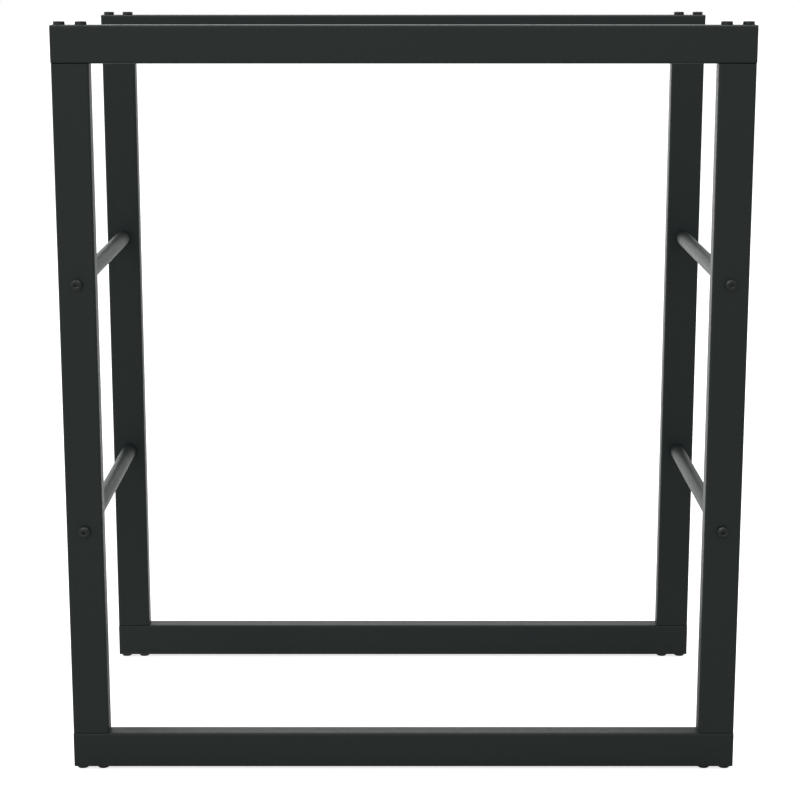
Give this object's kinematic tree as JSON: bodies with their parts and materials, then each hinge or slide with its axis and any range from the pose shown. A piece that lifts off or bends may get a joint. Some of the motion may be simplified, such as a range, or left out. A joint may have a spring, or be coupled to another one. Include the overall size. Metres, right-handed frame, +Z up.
{
  "type": "firewood log rack",
  "caption": "Open log rack of rectangular steel tube: upright front and rear frames, bolted at the corners and joined by round side rods, for stacking firewood indoors.",
  "frame": {"origin": "on the floor, under the middle of the rack, at the underside of the bottom screw heads", "axes": "+Z up, -Y the front, +X to the right as seen from the front, along the rails"},
  "size_m": [0.5, 0.28, 0.56],
  "materials": {
    "powder_coat": "matt black powder coat with a fine texture",
    "black_screw": "blackened low-head socket screw, satin",
    "plug_plastic": "moulded black polyethylene",
    "zinc_steel": "bright zinc plating, hidden inside the tubes"
  },
  "bodies": {
    "root": {"front_bottom_rail": "powder_coat", "front_bottom_rail_left_plug": "plug_plastic", "front_bottom_rail_right_plug": "plug_plastic", "front_top_rail": "powder_coat", "front_top_rail_left_plug": "plug_plastic", "front_top_rail_right_plug": "plug_plastic", "rear_bottom_rail": "powder_coat", "rear_bottom_rail_left_plug": "plug_plastic", "rear_bottom_rail_right_plug": "plug_plastic", "rear_top_rail": "powder_coat", "rear_top_rail_left_plug": "plug_plastic", "rear_top_rail_right_plug": "plug_plastic", "front_left_post": "powder_coat", "front_left_post_bottom_nut_plate": "zinc_steel", "front_left_post_top_nut_plate": "zinc_steel", "front_right_post": "powder_coat", "front_right_post_bottom_nut_plate": "zinc_steel", "front_right_post_top_nut_plate": "zinc_steel", "rear_left_post": "powder_coat", "rear_left_post_bottom_nut_plate": "zinc_steel", "rear_left_post_top_nut_plate": "zinc_steel", "rear_right_post": "powder_coat", "rear_right_post_bottom_nut_plate": "zinc_steel", "rear_right_post_top_nut_plate": "zinc_steel", "left_lower_rod": "powder_coat", "left_lower_rod_front_insert": "zinc_steel", "left_lower_rod_rear_insert": "zinc_steel", "left_upper_rod": "powder_coat", "left_upper_rod_front_insert": "zinc_steel", "left_upper_rod_rear_insert": "zinc_steel", "right_lower_rod": "powder_coat", "right_lower_rod_front_insert": "zinc_steel", "right_lower_rod_rear_insert": "zinc_steel", "right_upper_rod": "powder_coat", "right_upper_rod_front_insert": "zinc_steel", "right_upper_rod_rear_insert": "zinc_steel", "front_bottom_left_inner_screw": "black_screw", "front_bottom_left_outer_screw": "black_screw", "front_bottom_right_inner_screw": "black_screw", "front_bottom_right_outer_screw": "black_screw", "front_top_left_inner_screw": "black_screw", "front_top_left_outer_screw": "black_screw", "front_top_right_inner_screw": "black_screw", "front_top_right_outer_screw": "black_screw", "rear_bottom_left_inner_screw": "black_screw", "rear_bottom_left_outer_screw": "black_screw", "rear_bottom_right_inner_screw": "black_screw", "rear_bottom_right_outer_screw": "black_screw", "rear_top_left_inner_screw": "black_screw", "rear_top_left_outer_screw": "black_screw", "rear_top_right_inner_screw": "black_screw", "rear_top_right_outer_screw": "black_screw", "front_left_lower_rod_screw": "black_screw", "front_left_upper_rod_screw": "black_screw", "front_right_lower_rod_screw": "black_screw", "front_right_upper_rod_screw": "black_screw", "rear_left_lower_rod_screw": "black_screw", "rear_left_upper_rod_screw": "black_screw", "rear_right_lower_rod_screw": "black_screw", "rear_right_upper_rod_screw": "black_screw"}
  },
  "joints": []
}
